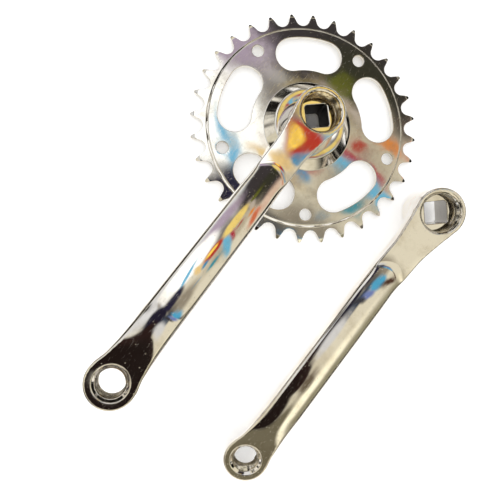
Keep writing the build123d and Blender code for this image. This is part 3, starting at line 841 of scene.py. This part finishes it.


# Painted reflections for the plating: a soft card overhead with the room's lights and darks painted on it.
# Only mirrored rays see it. Places and sizes are millimetres on the card, from the crank's axis.
room = dict(height=700.0, half=1050.0, light=1.2, base="#dad4c0", warp=18.0, warpSize=110.0)
roomSpots = [
    dict(at=(-480, 150), size=(430, 460), colour="#d4d6da", light=1.05, soft=0.3),
    dict(at=(-175, 90), size=(60, 26), turn=-30, colour="#a09c98", soft=0.5),
    dict(at=(860, -100), size=(240, 520), colour="#8f8b74", soft=0.5),
    dict(at=(520, -250), size=(110, 260), colour="#fbf6dc", light=1.15, soft=0.5),
    dict(at=(-20, 545), size=(335, 185), colour="#3a3638", soft=0.14),
    dict(at=(60, 470), size=(110, 60), colour="#34342a", soft=0.5),
    dict(at=(-225, 335), size=(112, 76), colour="#ab9db2", soft=0.5),
    dict(at=(380, 480), size=(140, 70), colour="#d6bba8", soft=0.5),
    dict(at=(90, 400), size=(110, 14), colour="#b5aaa0", soft=0.5),
    dict(at=(-20, 310), size=(120, 50), colour="#7c7977", soft=0.6),
    dict(at=(170, 300), size=(90, 110), colour="#b7ad98", soft=0.6),
    dict(at=(320, 405), size=(80, 26), colour="#c86e4c", soft=0.5),
    dict(at=(160, 316), size=(80, 9), colour="#a82c3c", soft=0.5),
    dict(at=(210, 290), size=(170, 17), colour="#6cb4d6", soft=0.4),
    dict(at=(-170, 195), size=(150, 100), colour="#f8fafa", light=1.35, soft=0.3),
    dict(at=(22, 340), size=(75, 50), colour="#ecd27c", soft=0.25),
    dict(at=(35, 250), size=(62, 38), colour="#b03a2c", soft=0.3),
    dict(at=(14, 244), size=(24, 24), colour="#f8d25c", light=1.1, soft=0.35),
    dict(at=(72, 213), size=(27, 11), colour="#3f8cb8", soft=0.4),
    dict(at=(20, 196), size=(70, 12), colour="#e6c88a", soft=0.5),
    dict(at=(-80, 172), size=(70, 15), turn=-35, colour="#6cb6de", soft=0.5),
    dict(at=(200, 238), size=(30, 22), colour="#3f8fa0", soft=0.5),
    dict(at=(158, 158), size=(34, 9), turn=62, colour="#5d9fc4", soft=0.5),
    dict(at=(190, 393), size=(30, 15), colour="#d8853c", soft=0.5),
    dict(at=(28, 425), size=(34, 26), colour="#5c6024", soft=0.4),
    dict(at=(138, 345), size=(18, 12), colour="#a83c30", soft=0.5),
    dict(at=(165, 125), size=(110, 50), colour="#938b7c", soft=0.5),
    dict(at=(90, 86), size=(80, 24), colour="#66625a", soft=0.5),
    dict(at=(-32, -12), size=(128, 108), colour="#211e2e", soft=0.2),
    dict(at=(-2, 108), size=(66, 40), colour="#27243a", soft=0.3),
    dict(at=(-10, -170), size=(100, 150), colour="#2a1c1a", soft=0.2),
    dict(at=(120, 22), size=(62, 66), colour="#3e4756", soft=0.4),
    dict(at=(130, -45), size=(90, 52), colour="#cfd0d2", soft=0.45),
    dict(at=(255, 94), size=(118, 18), turn=4, colour="#4fa2ca", soft=0.35),
    dict(at=(225, 64), size=(95, 13), turn=5, colour="#6f7fb4", soft=0.5),
    dict(at=(150, 42), size=(110, 8), turn=4, colour="#3c3c42", soft=0.5),
    dict(at=(480, 125), size=(150, 13), turn=11, colour="#4a3228", soft=0.5),
    dict(at=(330, -150), size=(110, 30), colour="#6a5f50", soft=0.5),
    dict(at=(115, -155), size=(130, 42), colour="#2a1c1a", soft=0.16),
    dict(at=(365, -540), size=(120, 330), colour="#6c6654", soft=0.3),
    dict(at=(90, -390), size=(190, 260), colour="#1e1614", soft=0.18),
    dict(at=(20, -335), size=(24, 16), colour="#b8b4ac", soft=0.5),
    dict(at=(-560, 20), size=(260, 50), colour="#2c2826", soft=0.4),
]


def paintRoom():
    material = bpy.data.materials.new("roomCard")
    material.use_nodes = True
    tree = material.node_tree
    tree.nodes.clear()
    place = addNode(tree, "ShaderNodeTexCoord").outputs["Object"]
    stir = addNode(tree, "ShaderNodeTexNoise", {
        "Vector": place, "Scale": perMetre(room["warpSize"]), "Detail": 3.0})
    centred = addNode(tree, "ShaderNodeVectorMath", {
        0: stir.outputs["Color"], 1: (0.5, 0.5, 0.5)}, operation="SUBTRACT")
    warp = room["warp"] * mm
    moved = addNode(tree, "ShaderNodeVectorMath", {
        0: centred.outputs[0], 1: (warp, warp, 0), 2: place}, operation="MULTIPLY_ADD")
    flat = addNode(tree, "ShaderNodeVectorMath", {
        0: moved.outputs[0], 1: (1, 1, 0)}, operation="MULTIPLY").outputs[0]
    seen = None
    for spot in roomSpots:
        local = addNode(tree, "ShaderNodeMapping", {
            "Vector": flat, "Location": (spot["at"][0] * mm, spot["at"][1] * mm, 0),
            "Rotation": (0, 0, math.radians(spot.get("turn", 0))),
            "Scale": (spot["size"][0] * mm, spot["size"][1] * mm, 1)}, vector_type="TEXTURE")
        away = addNode(tree, "ShaderNodeVectorMath", {0: local.outputs[0]}, operation="LENGTH")
        amount = addNode(tree, "ShaderNodeMapRange", {
            "Value": away.outputs["Value"], "From Min": 1 + spot["soft"], "From Max": 1 - spot["soft"]},
            interpolation_type="SMOOTHSTEP")
        shade = [c * spot.get("light", 1.0) for c in linear(spot["colour"])[:3]] + [1]
        under = seen if seen else linear(room["base"])
        seen = addNode(tree, "ShaderNodeMix", {
            0: amount.outputs[0], 6: under, 7: shade}, data_type="RGBA").outputs[2]
    glow = addNode(tree, "ShaderNodeEmission", {"Color": seen, "Strength": room["light"]})
    addNode(tree, "ShaderNodeOutputMaterial", {"Surface": glow.outputs[0]})
    return material


def sheet(name, half, height, material):  # a flat sheet of the studio, facing up
    mesh = bpy.data.meshes.new(name)
    corners = [(-half, -half, height), (half, -half, height), (half, half, height), (-half, half, height)]
    mesh.from_pydata(corners, [], [(0, 1, 2, 3)])
    mesh.materials.append(material)
    stand = bpy.data.objects.new(name, mesh)
    bpy.context.scene.collection.objects.link(stand)
    return stand


card = sheet("roomCard", room["half"] * mm, room["height"] * mm, paintRoom())
card.visible_camera = False
card.visible_diffuse = False
card.visible_transmission = False
card.visible_shadow = False


floorLook = dict(
    half=3000.0, gap=0.03, grey="#fdfdfd", white="#ffffff", cloud=80.0, glow=0.25,
    shade=(16.0, 22.0),      # painted shade: the sheet's glow fades out inside this radius, under the boss
    mirrored=(300.0, 420.0), farColour="#1a1816",  # past this, mirrored rays see a painted dark reflection, not the sheet
)


def whiteSheet():  # matt white card under the crankset, with the faintest cloudiness; it glows faintly, except under the boss, where the glow fades out as painted shade
    material = bpy.data.materials.new("mattWhiteCard")
    material.use_nodes = True
    tree = material.node_tree
    shader = tree.nodes["Principled BSDF"]
    shader.inputs["Roughness"].default_value = 0.9
    shader.inputs["Specular IOR Level"].default_value = 0.0
    place = addNode(tree, "ShaderNodeTexCoord").outputs["Object"]
    cloud = addNode(tree, "ShaderNodeTexNoise", {
        "Vector": place, "Scale": perMetre(floorLook["cloud"]), "Detail": 3.0})
    colour = addNode(tree, "ShaderNodeMix", {
        0: cloud.outputs[0], 6: linear(floorLook["grey"]), 7: linear(floorLook["white"])}, data_type="RGBA")
    tree.links.new(colour.outputs[2], shader.inputs["Base Color"])
    shader.inputs["Emission Color"].default_value = (1, 1, 1, 1)
    reach = addNode(tree, "ShaderNodeVectorMath", {0: place}, operation="LENGTH")
    near, far = (size * mm for size in floorLook["shade"])
    shaded = addNode(tree, "ShaderNodeMapRange", {
        "Value": reach.outputs["Value"], "From Min": near, "From Max": far, "To Max": floorLook["glow"]})
    tree.links.new(shaded.outputs[0], shader.inputs["Emission Strength"])
    near, far = (size * mm for size in floorLook["mirrored"])
    beyond = addNode(tree, "ShaderNodeMapRange", {
        "Value": reach.outputs["Value"], "From Min": near, "From Max": far}, interpolation_type="SMOOTHSTEP")
    mirrored = addNode(tree, "ShaderNodeMath", {
        0: addNode(tree, "ShaderNodeLightPath").outputs["Is Glossy Ray"], 1: beyond.outputs[0]},
        operation="MULTIPLY")
    dark = addNode(tree, "ShaderNodeEmission", {"Color": linear(floorLook["farColour"]), "Strength": 1.0})
    either = addNode(tree, "ShaderNodeMixShader", {
        0: mirrored.outputs[0], 1: shader.outputs[0], 2: dark.outputs[0]})
    tree.links.new(either.outputs[0], tree.nodes["Material Output"].inputs["Surface"])
    return material


sheet("floor", floorLook["half"] * mm, (ring["back"] - floorLook["gap"]) * mm, whiteSheet())

# Plain white all round for the eye and for the light; mirrored rays see a dark room with a few
# bright bands low down, and a broad bright window on one side.
studio = dict(
    light=1.08, dark="#161412", band="#f4f0e6", bandEdges=(0.53, 0.62),
    bandStretch=(1.6, 1.6, 7.0), bandScale=1.3,
    windowSide=-52, windowEdges=(0.72, 0.93), window="#f6efd8",
)
world = bpy.data.worlds.new("studio")
bpy.context.scene.world = world
world.use_nodes = True
sky = world.node_tree
sky.nodes.clear()
direction = addNode(sky, "ShaderNodeTexCoord").outputs["Generated"]
stretch = addNode(sky, "ShaderNodeMapping", {"Vector": direction, "Scale": studio["bandStretch"]})
bands = addNode(sky, "ShaderNodeTexNoise", {
    "Vector": stretch.outputs[0], "Scale": studio["bandScale"], "Detail": 2.0})
ramp = addNode(sky, "ShaderNodeValToRGB", {"Fac": bands.outputs[0]})
for stop, edge, colour in zip(ramp.color_ramp.elements, studio["bandEdges"], ("dark", "band")):
    stop.position = edge
    stop.color = linear(studio[colour])
level = addNode(sky, "ShaderNodeVectorMath", {0: direction, 1: (1, 1, 0)}, operation="MULTIPLY")
heading = addNode(sky, "ShaderNodeVectorMath", {0: level.outputs[0]}, operation="NORMALIZE")
side = math.radians(studio["windowSide"])
facing = addNode(sky, "ShaderNodeVectorMath", {
    0: heading.outputs[0], 1: (math.cos(side), math.sin(side), 0)}, operation="DOT_PRODUCT")
window = addNode(sky, "ShaderNodeMapRange", {
    "Value": facing.outputs["Value"], "From Min": studio["windowEdges"][0],
    "From Max": studio["windowEdges"][1]}, interpolation_type="SMOOTHSTEP")
around = addNode(sky, "ShaderNodeMix", {
    0: window.outputs[0], 6: ramp.outputs[0], 7: linear(studio["window"])}, data_type="RGBA")
rays = addNode(sky, "ShaderNodeLightPath")
mirrored = addNode(sky, "ShaderNodeMix", {
    0: rays.outputs["Is Glossy Ray"], 6: (1, 1, 1, 1), 7: around.outputs[2]}, data_type="RGBA")
background = addNode(sky, "ShaderNodeBackground", {
    "Color": mirrored.outputs[2], "Strength": studio["light"]})
addNode(sky, "ShaderNodeOutputWorld", {"Surface": background.outputs[0]})
print("studio set")

view = dict(place=(-0.00937, -0.11681, 0.269), turn=(3.156, -8.598, 37.761),
            lens=34.46, shift=(0.0165, -0.003))
camera = bpy.data.objects.new("camera", bpy.data.cameras.new("camera"))
bpy.context.scene.collection.objects.link(camera)
camera.location = view["place"]
camera.rotation_euler = [math.radians(angle) for angle in view["turn"]]
camera.data.sensor_width = 36
camera.data.lens = view["lens"]
camera.data.shift_x, camera.data.shift_y = view["shift"]
camera.data.clip_start = 0.01
bpy.context.scene.camera = camera

bpy.context.scene.view_settings.view_transform = "Standard"
